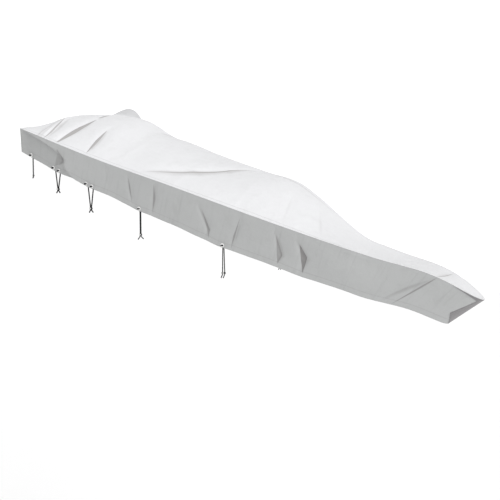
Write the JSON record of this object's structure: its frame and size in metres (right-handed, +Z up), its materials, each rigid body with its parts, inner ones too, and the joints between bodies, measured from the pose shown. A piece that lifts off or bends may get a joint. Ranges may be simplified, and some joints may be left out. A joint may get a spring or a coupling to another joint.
{
  "type": "boat cover",
  "caption": "Fitted cover for an open motor boat: pale humped top, grey skirt with a dark bow patch, and black cord ties hanging from pale eyelets along the hem.",
  "frame": {"origin": "the point on the underside of the top panel, on the centreline 2.8 m from the transom, where the boat's screen frame holds the cover up", "axes": "+X towards the bow along the cover's length, +Y to port, +Z up"},
  "size_m": [5.6006, 1.94, 1.3703],
  "materials": {
    "top_cloth": "matt coated cloth",
    "skirt_cloth": "matt coated cloth",
    "patch_cloth": "matt coated cloth",
    "eyelet_shell": "satin",
    "cord_braid": "braided",
    "keeper_rubber": "matt",
    "pale_plastic": "satin"
  },
  "bodies": {
    "root": {"bow_patch": "patch_cloth", "skirt_port": "skirt_cloth", "skirt_starboard": "skirt_cloth", "skirt_stern": "skirt_cloth", "tie_1_cord_port": "cord_braid", "tie_1_cord_starboard": "cord_braid", "tie_1_eyelet_port": "eyelet_shell", "tie_1_eyelet_starboard": "eyelet_shell", "tie_1_keeper_port": "keeper_rubber", "tie_1_keeper_starboard": "keeper_rubber", "tie_1_stud_port": "pale_plastic", "tie_1_stud_starboard": "pale_plastic", "tie_2_corda_port": "cord_braid", "tie_2_corda_starboard": "cord_braid", "tie_2_cordb_port": "cord_braid", "tie_2_cordb_starboard": "cord_braid", "tie_2_eyeleta_port": "eyelet_shell", "tie_2_eyeleta_starboard": "eyelet_shell", "tie_2_eyeletb_port": "eyelet_shell", "tie_2_eyeletb_starboard": "eyelet_shell", "tie_2_keeper_port": "keeper_rubber", "tie_2_keeper_starboard": "keeper_rubber", "tie_2_stud_port": "pale_plastic", "tie_2_stud_starboard": "pale_plastic", "tie_3_corda_port": "cord_braid", "tie_3_corda_starboard": "cord_braid", "tie_3_cordb_port": "cord_braid", "tie_3_cordb_starboard": "cord_braid", "tie_3_eyeleta_port": "eyelet_shell", "tie_3_eyeleta_starboard": "eyelet_shell", "tie_3_eyeletb_port": "eyelet_shell", "tie_3_eyeletb_starboard": "eyelet_shell", "tie_3_keeper_port": "keeper_rubber", "tie_3_keeper_starboard": "keeper_rubber", "tie_3_stud_port": "pale_plastic", "tie_3_stud_starboard": "pale_plastic", "tie_4_corda_port": "cord_braid", "tie_4_corda_starboard": "cord_braid", "tie_4_cordb_port": "cord_braid", "tie_4_cordb_starboard": "cord_braid", "tie_4_eyelet_port": "eyelet_shell", "tie_4_eyelet_starboard": "eyelet_shell", "tie_4_keeper_port": "keeper_rubber", "tie_4_keeper_starboard": "keeper_rubber", "tie_4_stud_port": "pale_plastic", "tie_4_stud_starboard": "pale_plastic", "tie_5_corda_port": "cord_braid", "tie_5_corda_starboard": "cord_braid", "tie_5_cordb_port": "cord_braid", "tie_5_cordb_starboard": "cord_braid", "tie_5_eyelet_port": "eyelet_shell", "tie_5_eyelet_starboard": "eyelet_shell", "tie_5_keeper_port": "keeper_rubber", "tie_5_keeper_starboard": "keeper_rubber", "tie_5_stud_port": "pale_plastic", "tie_5_stud_starboard": "pale_plastic", "top_panel": "top_cloth"}
  },
  "joints": []
}
